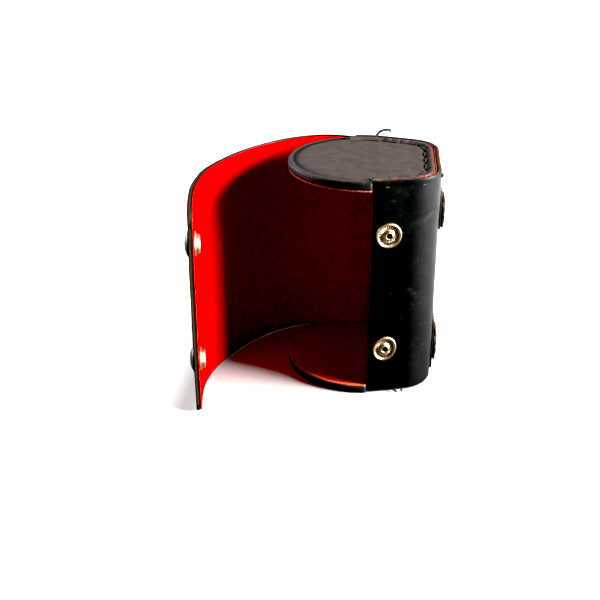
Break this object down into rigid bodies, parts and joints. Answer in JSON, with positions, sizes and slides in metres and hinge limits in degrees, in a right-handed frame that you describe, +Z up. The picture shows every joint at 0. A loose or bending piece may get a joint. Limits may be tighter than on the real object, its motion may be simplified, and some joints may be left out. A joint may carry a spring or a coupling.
{
  "type": "lens case",
  "caption": "Side-opening leather case standing on end: a D-shaped felt-lined half with stitched end plates and a long curved flap that wraps round it and snaps shut.",
  "frame": {"origin": "on the floor, on the axis of the case's round side", "axes": "+Z up; +X towards the case's flat end; -Y the side that carries the snap studs; the open flap reaches towards -X"},
  "size_m": [0.1282, 0.1083, 0.119],
  "materials": {
    "black_leather": "glossy smooth black leather, fine grain",
    "red_felt": "short-pile red felt",
    "board": "dense fibreboard",
    "thread": "waxed black thread",
    "nickel": "warm worn nickel plate",
    "spring_steel": "spring wire",
    "washer_steel": "plain steel",
    "black_lacquer": "black lacquer, worn through at the rim",
    "black_rivet": "black lacquer"
  },
  "bodies": {
    "case": {"wall_leather": "black_leather", "wall_felt": "red_felt", "top_leather": "black_leather", "top_board": "board", "top_felt": "red_felt", "bottom_leather": "black_leather", "bottom_board": "board", "bottom_felt": "red_felt", "top_thread": "thread", "bottom_thread": "thread", "upper_stud_dish": "nickel", "upper_stud_post": "nickel", "upper_stud_washer": "washer_steel", "upper_loop_patch": "black_leather", "upper_strap_loop": "black_leather", "upper_loop_front_rivet": "black_rivet", "upper_loop_back_rivet": "black_rivet", "lower_stud_dish": "nickel", "lower_stud_post": "nickel", "lower_stud_washer": "washer_steel", "lower_loop_patch": "black_leather", "lower_strap_loop": "black_leather", "lower_loop_front_rivet": "black_rivet", "lower_loop_back_rivet": "black_rivet"},
    "flap_1": {"flap_1_leather": "black_leather", "flap_1_felt": "red_felt"},
    "flap_2": {"flap_2_leather": "black_leather", "flap_2_felt": "red_felt"},
    "flap_3": {"flap_3_leather": "black_leather", "flap_3_felt": "red_felt"},
    "flap_4": {"flap_4_leather": "black_leather", "flap_4_felt": "red_felt"},
    "flap_5": {"flap_5_leather": "black_leather", "flap_5_felt": "red_felt"},
    "flap_6": {"flap_6_leather": "black_leather", "flap_6_felt": "red_felt"},
    "flap_tip": {"flap_tip_leather": "black_leather", "flap_tip_felt": "red_felt", "upper_socket": "nickel", "upper_socket_spring": "spring_steel", "upper_cap": "black_lacquer", "lower_socket": "nickel", "lower_socket_spring": "spring_steel", "lower_cap": "black_lacquer"}
  },
  "joints": [
    {"name": "flap_root", "type": "hinge", "parent": "case", "child": "flap_1", "pos_m": [-0.01457, 0.04003, 0.059], "axis": [0, 0, 1], "range_deg": [-16, 28.75]},
    {"name": "flap_bend_1", "type": "hinge", "parent": "flap_1", "child": "flap_2", "pos_m": [-0.03404, 0.0385, 0.059], "axis": [0, 0, 1], "range_deg": [-1.41, 2.3]},
    {"name": "flap_bend_2", "type": "hinge", "parent": "flap_2", "child": "flap_3", "pos_m": [-0.05112, 0.02903, 0.059], "axis": [0, 0, 1], "range_deg": [-4.2, 7.3]},
    {"name": "flap_bend_3", "type": "hinge", "parent": "flap_3", "child": "flap_4", "pos_m": [-0.06406, 0.01441, 0.059], "axis": [0, 0, 1], "range_deg": [-8.09, 14.3]},
    {"name": "flap_bend_4", "type": "hinge", "parent": "flap_4", "child": "flap_5", "pos_m": [-0.07352, -0.00267, 0.059], "axis": [0, 0, 1], "range_deg": [-10.6, 18.8]},
    {"name": "flap_bend_5", "type": "hinge", "parent": "flap_5", "child": "flap_6", "pos_m": [-0.08052, -0.0209, 0.059], "axis": [0, 0, 1], "range_deg": [-2.75, 4.7]},
    {"name": "flap_press", "type": "hinge", "parent": "flap_6", "child": "flap_tip", "pos_m": [-0.0832, -0.04273, 0.059], "axis": [0, 0, 1], "range_deg": [-8, 22.35]}
  ],
  "couplings": [
    {"joint": "flap_bend_1", "follows": "flap_root", "ratio": 0.06957},
    {"joint": "flap_bend_2", "follows": "flap_root", "ratio": 0.24348},
    {"joint": "flap_bend_3", "follows": "flap_root", "ratio": 0.48696},
    {"joint": "flap_bend_4", "follows": "flap_root", "ratio": 0.64348},
    {"joint": "flap_bend_5", "follows": "flap_root", "ratio": 0.15293}
  ]
}
